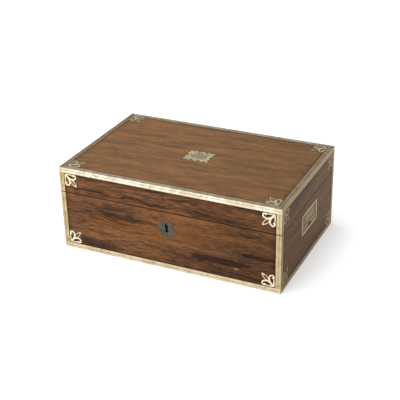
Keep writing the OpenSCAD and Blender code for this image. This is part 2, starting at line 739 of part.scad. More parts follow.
module well_floors() color(velvet) {
    both_sides() block([side_wall_x + wall_t / 2 + fit, -inner_y + fit, side_floor_z],
                       [inner_x - fit, inner_y - fit, side_floor_z + wall_t]);
    for (i = [-1.5:1:1.5]) translate([i * 2 * jar_x, 0, 0])
        block([-back_well_w / 2 + fit, cross_wall_y + wall_t / 2 + fit, back_floor_z],
              [back_well_w / 2 - fit, inner_y - fit, back_floor_z + wall_t]);
}

// Ledges that carry the tray
module tray_rests() color(mahogany) {
    x1 = well_span / 2 - fit;
    y0 = -inner_y + fit;
    y1 = cross_wall_y - wall_t / 2 - fit;
    both_sides() block([x1 - rest_w, y0, tray_z - rest_h - 0.1], [x1, y1, tray_z - 0.1]);
    block([-x1 + rest_w + fit, y0, tray_z - rest_h - 0.1], [x1 - rest_w - fit, y0 + rest_w, tray_z - 0.1]);
    block([-x1 + rest_w + fit, y1 - rest_w, tray_z - rest_h - 0.1], [x1 - rest_w - fit, y1, tray_z - 0.1]);
}

// Lift-out tray

module tray_bottom() color(rosewood)
    block([-tray_x, tray_y0, tray_z], [tray_x, tray_y1, tray_z + tray_floor]);

// Four outer walls, the side ones with a finger notch, and three dividers
module tray_walls() color(rosewood) {
    z0 = tray_z + tray_floor;
    z1 = tray_z + tray_h;
    both_sides() difference() {
        block([tray_x - tray_wall, tray_y0, z0], [tray_x, tray_y1, z1]);
        translate([tray_x, -8, z1]) rotate([0, 90, 0]) cylinder(h = 20, r = 9, center = true);
    }
    for (y = [tray_y0, tray_y1 - tray_wall])
        block([-tray_x + tray_wall + fit, y, z0], [tray_x - tray_wall - fit, y + tray_wall, z1]);
    block([-tray_x + tray_wall + fit, tray_row_y - 1, z0],
          [tray_x - tray_wall - fit, tray_row_y + 1, z1 - 2]);
    both_sides() block([tray_bay_x - 1, tray_row_y + 1 + fit, z0],
                       [tray_bay_x + 1, tray_y1 - tray_wall - fit, z1 - 2]);
}

module tray_lining() color(velvet) {
    z0 = tray_z + tray_floor;
    inner = tray_x - tray_wall - fit;
    block([-inner, tray_y0 + tray_wall + fit, z0], [inner, tray_row_y - 1 - fit, z0 + tray_lining_t]);
    both_sides() block([tray_bay_x + 1 + fit, tray_row_y + 1 + fit, z0],
                       [inner, tray_y1 - tray_wall - fit, z0 + tray_lining_t]);
    block([-tray_bay_x + 1 + fit, tray_row_y + 1 + fit, z0],
          [tray_bay_x - 1 - fit, tray_y1 - tray_wall - fit, z0 + tray_lining_t]);
}

// Velvet rolls that hold rings, side by side in the middle bay
module ring_cushion() color(velvet) {
    z0 = tray_z + tray_floor + tray_lining_t;
    pitch = (tray_y1 - tray_wall - fit - tray_row_y - 1 - fit) / rolls;
    half = tray_bay_x - 1.4;
    for (i = [0:rolls - 1]) translate([-half, tray_row_y + 1 + fit + (i + 0.5) * pitch, z0])
        rotate([90, 0, 90]) linear_extrude(2 * half)
            polygon(concat([[-pitch / 2 + 0.3, 0]],
                [for (a = [180:-18:0]) [(pitch / 2 - 0.3) * cos(a), 4 + 2 * roll_r * 0.7 * sin(a)]],
                [[pitch / 2 - 0.3, 0]]));
}

// Glass pieces, drawn for the right side

// Outline of a rectangle with cut corners
function cut_rectangle(w, l, c) = [
    [w / 2, l / 2 - c], [w / 2 - c, l / 2], [-w / 2 + c, l / 2], [-w / 2, l / 2 - c],
    [-w / 2, -l / 2 + c], [-w / 2 + c, -l / 2], [w / 2 - c, -l / 2], [w / 2, -l / 2 + c]
];

module brush_box() translate([box_x, 0, box_z]) difference() {
    union() {
        linear_extrude(box_h - neck_h) polygon(cut_rectangle(box_w, box_l, 3));
        linear_extrude(box_h) polygon(cut_rectangle(box_w - 2 * neck_in, box_l - 2 * neck_in, 2.4));
    }
    translate([0, 0, glass_t + 1])
        linear_extrude(box_h) polygon(cut_rectangle(box_w - 2 * glass_t - 2, box_l - 2 * glass_t - 2, 2));
}

module brush_box_lid() translate([box_x, 0, box_z + box_h - neck_h + 0.1]) difference() {
    union() {
        linear_extrude(box_lid_h - 2) polygon(cut_rectangle(box_w, box_l, 3));
        linear_extrude(box_lid_h) polygon(cut_rectangle(box_w - 5, box_l - 5, 2));
    }
    translate([0, 0, -1]) linear_extrude(neck_h + 1.6)
        polygon(cut_rectangle(box_w - 2 * lid_wall, box_l - 2 * lid_wall, 2.6));
}

module powder_jar() translate([jar_x, back_y, back_z]) rotate_extrude($fn = 64) polygon([
    [0, 0], [jar_r - 2, 0], [jar_r, 2], [jar_r, jar_h - neck_h - 1.5], [jar_r - neck_in, jar_h - neck_h],
    [jar_r - neck_in, jar_h], [jar_r - neck_in - glass_t + 0.6, jar_h],
    [jar_r - neck_in - glass_t + 0.6, jar_h - neck_h], [jar_r - glass_t - 1, jar_h - neck_h - 3],
    [jar_r - glass_t - 1, 8], [jar_r - glass_t - 5, 5], [0, 5]
]);

module powder_jar_lid() translate([jar_x, back_y, back_z + jar_h - neck_h + 0.1])
    rotate_extrude($fn = 64) polygon([
        [0, neck_h + 0.4], [jar_r - lid_wall, neck_h + 0.4], [jar_r - lid_wall, 0], [jar_r, 0],
        [jar_r, neck_h + 1], [jar_r - 1.5, neck_h + 2.6], [jar_r - 6, neck_h + 4], [jar_r - 12, neck_h + 5],
        [5, neck_h + 5.6], [3.4, neck_h + 7], [3.4, neck_h + 8.5], [4.4, neck_h + 10],
        [3, neck_h + 11.6], [0, neck_h + 12]
    ]);

module scent_bottle() translate([bottle_x, back_y, back_z]) difference() {
    union() {
        linear_extrude(bottle_h - 6) polygon(cut_rectangle(bottle_w, bottle_w, 5));
        translate([0, 0, bottle_h - 6]) cylinder(h = 6, r1 = bottle_w / 2 - 0.5, r2 = bottle_neck_r + 5);
        cylinder(h = bottle_h + bottle_neck_l, r = bottle_neck_r);
    }
    translate([0, 0, 5]) linear_extrude(bottle_h - 14) polygon(cut_rectangle(bottle_w - 9, bottle_w - 9, 4));
    translate([0, 0, bottle_h - 9.01]) cylinder(h = 7, r1 = bottle_w / 2 - 6, r2 = bottle_neck_r - 2.6);
    cylinder(h = 200, r = bottle_neck_r - 2.6);
}

module scent_bottle_cap() translate([bottle_x, back_y, back_z + bottle_h + 0.2]) {
    bore = bottle_neck_r + lid_play;
    rotate_extrude($fn = 64) polygon([
        [0, bottle_neck_l + 0.3], [bore, bottle_neck_l + 0.3], [bore, 0], [cap_r, 0], [cap_r, 1.5],
        [cap_r - 1.2, 2.5], [cap_r - 1.2, cap_h - 4], [cap_r - 2.4, cap_h - 1.6], [cap_r - 6, cap_h],
        [0, cap_h + 1]
    ]);
}

module brush_box_right() color(glass) brush_box();
module brush_box_left() color(glass) mirror([1, 0, 0]) brush_box();
module brush_box_lid_right() color(plate_metal) brush_box_lid();
module brush_box_lid_left() color(plate_metal) mirror([1, 0, 0]) brush_box_lid();
module powder_jar_right() color(glass) powder_jar();
module powder_jar_left() color(glass) mirror([1, 0, 0]) powder_jar();
module powder_jar_lid_right() color(plate_metal) powder_jar_lid();
module powder_jar_lid_left() color(plate_metal) mirror([1, 0, 0]) powder_jar_lid();
module scent_bottle_right() color(glass) scent_bottle();
module scent_bottle_left() color(glass) mirror([1, 0, 0]) scent_bottle();
module scent_bottle_cap_right() color(plate_metal) scent_bottle_cap();
module scent_bottle_cap_left() color(plate_metal) mirror([1, 0, 0]) scent_bottle_cap();

base_front_board();
base_back_board();
base_left_board();
base_right_board();
base_bottom_board();
base_veneers();
base_corner_strips();
base_bottom_strips();
base_corner_inlays();
base_baize();
keyhole_escutcheon();
lock_case();
lock_cover();
lock_lever();
lock_bolt();
link_plate();
hinge_base_leaves();
hinge_lid_leaves();
hinge_pins();
base_screws();
lid_screws();
handle_plate_left();
handle_plate_right();
handle_bail_left();
handle_bail_right();
lid_top_board();
lid_front_board();
lid_back_board();
lid_left_board();
lid_right_board();
lid_veneers();
lid_corner_strips();
lid_top_strips();
lid_corner_inlays();
lid_cartouche();
lid_lining();
mirror_frame();
mirror_glass();
mirror_button_left();
mirror_button_right();
floor_lining();
well_partitions();
well_floors();
tray_rests();
tray_bottom();
tray_walls();
tray_lining();
ring_cushion();
brush_box_left();
brush_box_lid_left();
brush_box_right();
brush_box_lid_right();
powder_jar_left();
powder_jar_lid_left();
powder_jar_right();
powder_jar_lid_right();
scent_bottle_left();
scent_bottle_cap_left();
scent_bottle_right();
scent_bottle_cap_right();
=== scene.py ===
# %% [markdown]
# # A brass-bound rosewood dressing box
# The construction of this box is already there: every board, strip, hinge and bottle is a solid that
# was drawn at its real size. Here we give those solids their woods, metals and cloths, and model the
# soft pieces that a drawing of solids can't show. We start by loading the solids, and keep the size
# of the whole box.

# %% Load the solids
import functools
import math

import bpy
from mathutils import Euler, Matrix, Vector


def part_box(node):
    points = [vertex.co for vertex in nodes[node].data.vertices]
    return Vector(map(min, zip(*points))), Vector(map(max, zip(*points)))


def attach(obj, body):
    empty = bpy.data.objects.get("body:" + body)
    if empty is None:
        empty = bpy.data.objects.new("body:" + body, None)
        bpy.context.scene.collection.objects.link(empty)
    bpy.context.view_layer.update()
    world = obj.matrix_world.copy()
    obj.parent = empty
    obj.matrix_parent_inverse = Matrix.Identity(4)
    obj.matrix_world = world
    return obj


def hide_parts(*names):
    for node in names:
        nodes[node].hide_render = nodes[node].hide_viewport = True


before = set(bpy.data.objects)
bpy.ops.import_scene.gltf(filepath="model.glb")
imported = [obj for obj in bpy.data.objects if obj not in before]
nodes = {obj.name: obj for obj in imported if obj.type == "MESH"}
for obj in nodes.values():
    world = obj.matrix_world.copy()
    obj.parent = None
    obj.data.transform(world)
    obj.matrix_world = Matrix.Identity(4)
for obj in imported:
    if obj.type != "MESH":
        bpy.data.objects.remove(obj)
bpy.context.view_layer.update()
MM = 0.001

# %% [markdown]
# The case itself is a plain block, and many finishes depend on how near a point is to its edges. So
# its three outer sizes are read from the brass strips, which lie on its outermost planes. Finishes
# reckon in millimetres, so these sizes are kept in millimetres too.

# %% Measure the case
def corners_mm(name):
    """The lowest and the highest corner of a solid's box, in millimetres."""
    return [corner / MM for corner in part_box(name)]


CASE_HALF_X, CASE_HALF_Y, CASE_TOP = corners_mm("lid_top_strips")[1]
STRIP_FOOT = corners_mm("base_bottom_strips")[0].z
STRIP_WIDTH = corners_mm("base_bottom_strips")[1].z - STRIP_FOOT
SEAM_Z = (corners_mm("base_corner_strips")[1].z + corners_mm("lid_corner_strips")[0].z) / 2
print("case", [round(size, 1) for size in (2 * CASE_HALF_X, 2 * CASE_HALF_Y, CASE_TOP)], "mm")
print("strips", round(STRIP_WIDTH, 1), "mm wide, and the lid meets the base at", round(SEAM_Z, 1))

# %% [markdown]
# ## The view
# A long lens keeps the box's edges nearly parallel, as in a catalogue photograph. The camera stands
# in front of the right-hand corner and looks down on the lid, turned a little about its own axis.

# %% Place the camera
CAMERA_PLACE = Vector((0.55839, -1.16594, 0.72281))
CAMERA_AZIMUTH = math.radians(25.589)
CAMERA_ELEVATION = math.radians(27.164)
CAMERA_ROLL = math.radians(-1.267)
LENS_LENGTH = 85.49
SENSOR_WIDTH = 36

lens = bpy.data.cameras.new("lens")
lens.sensor_width = SENSOR_WIDTH
lens.lens = LENS_LENGTH
camera = bpy.data.objects.new("camera", lens)
bpy.context.scene.collection.objects.link(camera)
turn = Euler((math.pi / 2 - CAMERA_ELEVATION, 0, CAMERA_AZIMUTH)).to_matrix()
roll = Matrix.Rotation(CAMERA_ROLL, 3, "Z")
camera.matrix_world = Matrix.Translation(CAMERA_PLACE) @ (turn @ roll).to_4x4()
bpy.context.scene.camera = camera
bpy.context.scene.view_settings.view_transform = "Standard"
print("camera at", [round(v, 3) for v in CAMERA_PLACE], "with a", LENS_LENGTH, "mm lens")

# %% [markdown]
# ## A small language for finishes
# A finish is a net of nodes, and a net is easier to read as a formula. Colours come first: a paint
# chart gives them as three numbers up to 255, and shaders want linear ones.

# %% Colours
def paint(red, green, blue):
    """A colour of a paint chart, as the linear numbers that shaders use."""
    parts = [c / 255 for c in (red, green, blue)]
    return tuple(c / 12.92 if c <= 0.04045 else ((c + 0.055) / 1.055) ** 2.4 for c in parts) + (1,)


print("a middle grey is", round(paint(128, 128, 128)[0], 3), "in linear numbers")


# %% [markdown]
# `Wire` stands for one output socket. Adding or multiplying wires adds the Math node that does it,
# and the reflected forms let a plain number stand on the left, as in 1 - dirt.

# %% Wires
class Wire:
    """One output socket of a finish, which Python's operators can reckon with."""

    def __init__(self, finish, socket):
        self.finish = finish
        self.socket = socket

    def _math(self, operation, first, second=0.0):
        return self.finish.add("ShaderNodeMath", {"operation": operation}, {0: first, 1: second})

    def __add__(self, other):
        return self._math("ADD", self, other)

    def __radd__(self, other):
        return self._math("ADD", other, self)

    def __sub__(self, other):
        return self._math("SUBTRACT", self, other)

    def __rsub__(self, other):
        return self._math("SUBTRACT", other, self)

    def __mul__(self, other):
        return self._math("MULTIPLY", self, other)

    def __rmul__(self, other):
        return self._math("MULTIPLY", other, self)

    def __truediv__(self, other):
        return self._math("DIVIDE", self, other)

    def __abs__(self):
        return self._math("ABSOLUTE", self)

    def __pow__(self, power):
        return self._math("POWER", self, power)

    def least(self, other):
        return self._math("MINIMUM", self, other)

    def most(self, other):
        return self._math("MAXIMUM", self, other)

    def turn(self, out):
        """The angle round a middle, of a point that lies this far along and that far out."""
        return self._math("ARCTAN2", self, out)

    def repeat(self, length):
        """Distance from the nearest multiple of that length."""
        return self._math("PINGPONG", self, length / 2)


# %% [markdown]
# `Finish` is a material being made. Its `add` method makes any node, sets its settings first and then
# fills its sockets, and the other methods are short names for the nodes that finishes use most.

# %% Finishes
class Finish:
    """A material being made, whose surface is one Principled BSDF."""

    def __init__(self, name, **constants):
        self.material = bpy.data.materials.new(name)
        self.material.use_nodes = True
        self.nodes = self.material.node_tree.nodes
        self.links = self.material.node_tree.links
        self.surface = self.nodes["Principled BSDF"]
        for socket, value in constants.items():
            self.surface.inputs[socket.replace("_", " ")].default_value = value

    def fill(self, socket, value):
        """Connects a wire to a socket, or sets the socket to a plain value."""
        if isinstance(value, Wire):
            self.links.new(value.socket, socket)
        else:
            socket.default_value = value

    def add(self, kind, settings=None, sockets=None, output=0):
        """Any node: its type, then its settings, then what its sockets hold."""
        node = self.nodes.new(kind)
        for setting, value in (settings or {}).items():
            if setting == "stops":
                self.stops(node.color_ramp, value)
            else:
                setattr(node, setting, value)
        for socket, value in (sockets or {}).items():
            self.fill(node.inputs[socket], value)
        return Wire(self, node.outputs[output])

    def stops(self, ramp, stops):
        while len(ramp.elements) < len(stops):
            ramp.elements.new(1)
        for element, (place, colour) in zip(ramp.elements, stops):
            element.position = place
            element.color = colour

    def drive(self, socket, wire):
        """Lets a wire feed a socket of the surface."""
        self.fill(self.surface.inputs[socket], wire)

    def place(self):
        """The three coordinates on the piece, in millimetres, as wires."""
        point = self.add("ShaderNodeTexCoord", output="Object")
        parts = [self.add("ShaderNodeSeparateXYZ", sockets={0: point}, output=i) for i in range(3)]
        return [part * (1 / MM) for part in parts]

    def facing(self):
        """How much the surface faces left or right, front or back, and up or down, from 0 to 1."""
        normal = self.add("ShaderNodeTexCoord", output="Normal")
        return [abs(self.add("ShaderNodeSeparateXYZ", sockets={0: normal}, output=i)) for i in range(3)]

    def point(self, x, y, z):
        """Three wires as one vector, which may also be a colour."""
        return self.add("ShaderNodeCombineXYZ", sockets={0: x, 1: y, 2: z})

    def noise(self, at, detail=2.0, roughness=0.5, scale=1.0):
        """Cloudy noise that averages a half."""
        settings = {"noise_dimensions": "3D"}
        sockets = {"Vector": at, "Scale": scale, "Detail": detail, "Roughness": roughness}
        return self.add("ShaderNodeTexNoise", settings, sockets)

    def step(self, value, low, high):
        """A smooth step: 0 below low and 1 above high, or the reverse where low is the larger."""
        settings = {"interpolation_type": "SMOOTHSTEP", "clamp": True}
        return self.add("ShaderNodeMapRange", settings, {"Value": value, "From Min": low, "From Max": high})

    def band(self, value, middle, half, soft):
        """1 within half of the middle, falling to 0 over soft."""
        return self.step(abs(value - middle), half + soft, half)

    def blend(self, factor, first, second):
        """A colour between two colours."""
        settings = {"data_type": "RGBA"}
        return self.add("ShaderNodeMix", settings, {0: factor, 6: first, 7: second}, output=2)

    def shade(self, colour, factor):
        """A colour made darker or lighter by a factor."""
        grey = self.point(factor, factor, factor)
        settings = {"data_type": "RGBA", "blend_type": "MULTIPLY"}
        return self.add("ShaderNodeMix", settings, {0: 1.0, 6: colour, 7: grey}, output=2)

    def ramp(self, value, stops):
        """A colour read from a row of stops."""
        return self.add("ShaderNodeValToRGB", {"stops": stops}, {0: value})

    def relief(self, height, depth):
        """Bumps of that depth in metres, where height goes from 0 to 1."""
        sockets = {"Height": height, "Distance": depth, "Strength": 1.0}
        self.drive("Normal", self.add("ShaderNodeBump", sockets=sockets))


def dress(finish, *names):
    """Gives a finish to solids."""
    for name in names:
        mesh = nodes[name].data
        mesh.materials.clear()
        mesh.materials.append(finish.material)
    print(finish.material.name, "on", ", ".join(names))


# %% [markdown]
# ## How near the edge?
# Old boxes are rubbed and dirty along their edges, and the brass strips have a line engraved beside
# the corner. Both need the distance to the nearest edge of the case. A point on a face is at depth 0
# from that face, so the edge is as far away as the middle one of its three depths. The third and
# largest depth tells which way the edge runs.

# %% Distance to the case's edges
def depths(finish):
    """How deep a point lies, in millimetres, behind the ends, the front or back, and the top or foot."""
    x, y, z = finish.place()
    return CASE_HALF_X - abs(x), CASE_HALF_Y - abs(y), (CASE_TOP - z).least(z - STRIP_FOOT)


def edge_distance(finish):
    """Distance in millimetres from the nearest outer edge of the case, measured on the surface."""
    end, front, top = depths(finish)
    return end.least(front).most(end.most(front).least(top))


def seam(finish, half):
    """1 on the line between the lid and the base, and 0 a little way above and below it."""
    return finish.band(finish.place()[2], SEAM_Z, half, half)


def keyhole_shade(finish):
    """1 on the walls of the hole behind the keyhole plate, which get painted shade."""
    low, high = corners_mm("keyhole_escutcheon")
    x, y, z = finish.place()
    from_middle = (x ** 2 + (z - (low.z + high.z) / 2) ** 2) ** 0.5
    return finish.step(from_middle, 9, 8) * finish.step(y, low.y + 20, low.y + 18)


# %% [markdown]
# ## Rosewood
# Rosewood is cut into thin sheets and glued on, with the grain along each panel's length. So the first
# thing to know at any point is how far it lies along the grain and across it, on whichever face. Each
# face also gets a number of its own, so that no two faces show the same piece of noise. Photographs of
# veneer could be wrapped round the box instead, but noise needs no picture and fits any panel.

# %% The direction of the grain
def grain_axes(finish):
    """Along the grain, across it and the face's number, then how far it is an end or the top."""
    x, y, z = finish.place()
    end, front, top = finish.facing()
    on_end = finish.step(end, 0.5, 0.6)
    on_top = finish.step(top, 0.5, 0.6)
    along = x + (y - x) * on_end
    across = z + (y - z) * on_top
    back = finish.step(y, -5, 5) * (1 - on_top) * (1 - on_end)
    right = finish.step(x, -5, 5) * on_end
    sheet = on_end * 47 + on_top * 83 + back * 31 + right * 17
    return (along, across, sheet), on_end, on_top


def grain_noise(finish, axes, long, wide, seed, detail, roughness=0.5):
    """Noise whose patches are that long along the grain and that wide across it, in millimetres."""
    along, across, sheet = axes
    return finish.noise(finish.point(along / long, across / wide, sheet + seed), detail, roughness)


# %% [markdown]
# The figure is a set of growth rings cut at a slant. We push the coordinate across the grain up and
# down with slow noise, and read every streak from the result: they run together and apart as rings do.

# %% Growth rings
def growth_rings(finish, axes, on_top):
    """The axes again, with the rings' slow wander added across the grain."""
    along, across, sheet = axes
    drift = grain_noise(finish, axes, long=110, wide=50, seed=0, detail=1.0) - 0.5
    ripple = grain_noise(finish, axes, long=22, wide=11, seed=5, detail=2.0) - 0.5
    slant = along * on_top * 0.05
    return along, across + drift * 26 + ripple * 6 * (1 - on_top * 0.55) - slant, sheet


# %% [markdown]
# The front has marks of its own: dark hearts where a slow-grown part of the tree was cut, warm patches
# where the old varnish still glows, and a small pale knot. Each is an oval, given by its middle across
# and up, its half width and half height in millimetres, and its strength.

# %% Marks on the front
DARK_HEARTS = [(82, 32, 44, 6, 1.0), (140, 50, 30, 4, 1.0), (-118, 16, 40, 8, 0.7), (70, 99, 50, 4, 0.7)]
WARM_PATCHES = [(10, 62, 64, 22, 1.0), (-80, 52, 50, 16, 0.8)]
PALE_KNOTS = [(108, 25, 4.5, 2.2, 1.0)]


def marks(finish, ovals, clouds, on_front):
    """The strength of the ovals that cover a point. The clouds make their outlines ragged."""
    x, y, z = finish.place()
    found = []
    for at_x, at_z, half_x, half_z, strength in ovals:
        oval = ((x - at_x) / half_x) ** 2 + ((z - at_z) / half_z) ** 2 + (clouds - 0.5) * 2.6
        found.append(finish.step(oval, 1.5, 0.3) * on_front * strength)
    return functools.reduce(Wire.most, found)


print(len(DARK_HEARTS), "dark hearts,", len(WARM_PATCHES), "warm patches,", len(PALE_KNOTS), "knot")


# %% [markdown]
# Handling leaves its own marks on the veneer, whatever its figure. Wax and dirt gather in a thin line
# beside the brass, and more faintly some way in. The front is painted darker towards its lower right,
# and the top towards its right, as shade away from the lamps. The joint between the lid and the base
# is a black line: painted shade of the narrow gap, with some dirt.

# %% Dirt and painted shade on the case
def wood_under_dirt_and_shade(finish, on_front, on_top):
    """How much of the wood's own lightness is left under dirt and painted shade, from 0 to 1."""
    x, y, z = finish.place()
    beside = edge_distance(finish) - STRIP_WIDTH
    wax = finish.step(beside, 1.8, 0.1) * 0.55
    rubbed = finish.step(beside, 10, -2) * (0.5 - on_top * 0.25)
    # painted shade: the front darker towards its lower right, and the top towards its right
    painted_shade_front = finish.step(x, -60, 150) * finish.step(z, 170, 20) * on_front * 0.4
    painted_shade_top = finish.step(x, -40, 120) * on_top * 0.12
    # painted shade of the gap between the lid and the base, with some dirt
    seam_shade_and_dirt = seam(finish, 0.6) * (1 - on_top) * (0.7 + finish.step(x, -60, 60) * 0.25)
    return (1 - wax.most(seam_shade_and_dirt)) * (1 - rubbed) * (1 - painted_shade_front.most(painted_shade_top))


# %% [markdown]
# Now the veneer itself. A ramp turns the mixed streaks into five browns. Over it lie the glow of the
# varnish, the dark hearts, the pores and the fine fibres. The top is paler, and the ends are olive
# brown, darker towards the front.

# %% Rosewood veneer
ROSEWOOD_BROWNS = [
    (0.37, paint(40, 27, 19)), (0.44, paint(72, 48, 32)), (0.5, paint(102, 70, 46)),
    (0.56, paint(130, 90, 58)), (0.63, paint(160, 114, 74))]


def rosewood():
    finish = Finish("rosewood", Specular_IOR_Level=0.08)
    axes, on_end, on_top = grain_axes(finish)
    x, y, z = finish.place()
    on_front = (1 - on_end) * (1 - on_top) * finish.step(y, 0, -5)

    rings = growth_rings(finish, axes, on_top)
    broad = grain_noise(finish, rings, long=150, wide=12, seed=11, detail=2.0)
    streaks = grain_noise(finish, rings, long=70, wide=3.4, seed=13, detail=4.0, roughness=0.62)
    dashes = grain_noise(finish, rings, long=13, wide=1.5, seed=19, detail=3.0, roughness=0.65)
    pores = grain_noise(finish, rings, long=6, wide=0.35, seed=23, detail=1.0)
    fibres = grain_noise(finish, rings, long=9, wide=0.9, seed=41, detail=2.0, roughness=0.7)
    patches = grain_noise(finish, rings, long=50, wide=20, seed=29, detail=3.0, roughness=0.6)
    clouds = grain_noise(finish, axes, long=34, wide=14, seed=37, detail=4.0, roughness=0.6)

    figure = broad * 0.24 + streaks * 0.26 + dashes * 0.42 + clouds * 0.08
    colour = finish.ramp(figure, ROSEWOOD_BROWNS)
    warm = marks(finish, WARM_PATCHES, clouds, on_front)
    glow = (finish.step(patches, 0.46, 0.64) * 0.42).most(warm * 0.5) * (1 - on_end * 0.75)
    colour = finish.blend(glow * (0.6 + dashes * 0.5), colour, paint(156, 96, 46))
    heart = marks(finish, DARK_HEARTS, clouds, on_front)
    ink = finish.step(broad * 0.5 + streaks * 0.5, 0.45, 0.37) * (0.52 - on_top * 0.32)
    colour = finish.blend(ink.most(heart * (1.35 - dashes)), colour, paint(42, 30, 23))
    knot = marks(finish, PALE_KNOTS, clouds, on_front)
    colour = finish.blend(knot * (dashes * 1.6 - 0.2), colour, paint(196, 148, 92))
    colour = finish.shade(colour, 1 - finish.step(pores, 0.6, 0.72) * 0.3)
    colour = finish.shade(colour, 0.68 + fibres * (0.64 - on_end * 0.2) + on_end * 0.1)

    colour = finish.blend(on_top * (0.2 + clouds * 0.2), colour, paint(151, 119, 85))
    olive = finish.blend(finish.step(y, -90, 100), paint(81, 56, 26), paint(108, 80, 45))
    colour = finish.blend(on_end * 0.6, colour, olive)
    finish.drive("Base Color", finish.shade(colour, wood_under_dirt_and_shade(finish, on_front, on_top)))
    finish.drive("Roughness", 0.44 + on_top * 0.1 + clouds * 0.16 - glow * 0.1)
    finish.relief(dashes * 0.6 + pores * 0.4, 0.00012)
    return finish


dress(rosewood(), "base_veneers", "lid_veneers")


# %% [markdown]
# The inner woodwork is the same wood without the show figure, and the carcase under the veneer is
# plain mahogany. Both can share one recipe: straight grain in two browns, with fine fibres. The
# keyhole goes through the front board, and its walls are painted black as the shade inside the hole.

# %% Straight-grained woods
def straight_wood(name, dark, light):
    finish = Finish(name, Specular_IOR_Level=0.35)
    axes, on_end, on_top = grain_axes(finish)
    along, across, sheet = axes
    drift = grain_noise(finish, axes, long=120, wide=40, seed=3, detail=1.0) - 0.5
    rings = along, across + drift * 14, sheet
    streaks = grain_noise(finish, rings, long=200, wide=5, seed=7, detail=4.0, roughness=0.6)
    fibres = grain_noise(finish, rings, long=20, wide=0.6, seed=13, detail=2.0)
    colour = finish.blend(finish.step(streaks, 0.3, 0.7), dark, light)
    colour = finish.shade(colour, 1 - finish.step(fibres, 0.55, 0.75) * 0.5)
    # painted shade: the walls of the keyhole are nearly black
    finish.drive("Base Color", finish.shade(colour, 1 - keyhole_shade(finish) * 0.92))
    finish.drive("Roughness", 0.42 + fibres * 0.2)
    finish.relief(fibres, 0.00008)
    return finish


dress(straight_wood("plain_rosewood", paint(58, 34, 23), paint(104, 62, 40)),
      "mirror_frame", "well_partitions", "tray_bottom", "tray_walls")
dress(straight_wood("mahogany", paint(88, 48, 28), paint(128, 76, 46)),
      "base_front_board", "base_back_board", "base_left_board", "base_right_board",
      "base_bottom_board", "lid_top_board", "lid_front_board", "lid_back_board",
      "lid_left_board", "lid_right_board", "tray_rests")


# %% [markdown]
# ## Brass
# The strips were filed flat, lacquered and then handled for two centuries. The lacquer is cloudy, so
# the metal is bright in some stretches and dull in others, and dark specks of tarnish come through.
# Faces that look up and faces at the ends get colours of their own, as painted light and shade: the
# tops are drawn towards a middle brass, and the ends towards a dark one.

# %% Plain brass
def brass(name, dull, bright, mottle=0.35, rough=0.36, painted_top_shading=0.35):
    """Brass between two colours. Returns the finish, and the wires that make it up so far."""
    finish = Finish(name, Metallic=1.0)
    at = finish.point(*finish.place())
    clouds = finish.noise(at, detail=3.0, roughness=0.6, scale=1 / 13)
    specks = finish.noise(at, detail=3.0, roughness=0.7, scale=1 / 2.4)
    colour = finish.blend(finish.step(clouds, 0.36, 0.62), dull, bright)
    end, front, top = finish.facing()
    # painted light and shade: faces that look up are drawn towards a middle brass
    colour = finish.blend(finish.step(top, 0.5, 0.6) * painted_top_shading, colour, paint(206, 180, 134))
    # painted shade: the end faces are drawn towards a dark brass
    colour = finish.blend(finish.step(end, 0.5, 0.6) * 0.85, colour, paint(126, 105, 64))
    dirt_and_shade = finish.step(specks, 0.54, 0.74) * mottle
    return finish, colour, dirt_and_shade, clouds, specks, rough


def tarnish_and_shade(parts):
    """Lays the dirt, with any painted shade in it, on a brass and connects its surface."""
    finish, colour, dirt_and_shade, clouds, specks, rough = parts
    finish.drive("Base Color", finish.blend(dirt_and_shade, colour, paint(66, 54, 36)))
    finish.drive("Roughness", rough + clouds * 0.16 + dirt_and_shade * 0.3)
    finish.drive("Metallic", 1 - dirt_and_shade * 0.75)
    finish.relief(specks * 0.4 - dirt_and_shade, 0.00008)
    return finish


dress(tarnish_and_shade(brass("brass_inlay", paint(236, 222, 188), paint(250, 240, 214), 0.2, 0.45, 0)),
      "base_corner_inlays", "lid_corner_inlays")
dress(tarnish_and_shade(brass("brass", paint(164, 140, 92), paint(194, 170, 120))),
      "link_plate", "hinge_base_leaves", "hinge_lid_leaves", "base_screws", "lid_screws",
      "mirror_button_left", "mirror_button_right")
# brass painted nearly black, as the shade seen through the keyhole, with dirt
dress(tarnish_and_shade(brass("brass_painted_shade_black", paint(26, 22, 17), paint(52, 44, 32), 0.8, 0.6)),
      "lock_cover", "lock_lever")
dress(tarnish_and_shade(brass("lock_brass", paint(84, 74, 54), paint(120, 104, 74), 0.5, 0.5)), "lock_case")


# %% [markdown]
# The strips carry more. A line is engraved beside the corner, small brass pins hold them to the wood,
# and waxy dirt lies where they meet it. Dirt stays round each pin, in the line and in the wax. The
# joint between the lid and the base is dark with dirt and with painted shade of the gap. The strips
# that run from front to back, on the ends, are painted a darker yellow as shade, and their dark line
# beside the wood is painted wider. The depths tell which way a strip runs, and so where its pins are:
# they start at one place on each axis and come again at equal spacings.

# %% Strip brass
PIN_STARTS = (-24, -30, 104)
PIN_SPACINGS = (88, 72, 46)
PIN_INSET = 5.4
PIN_RADIUS = 1.1
LINE_INSET = 3.3


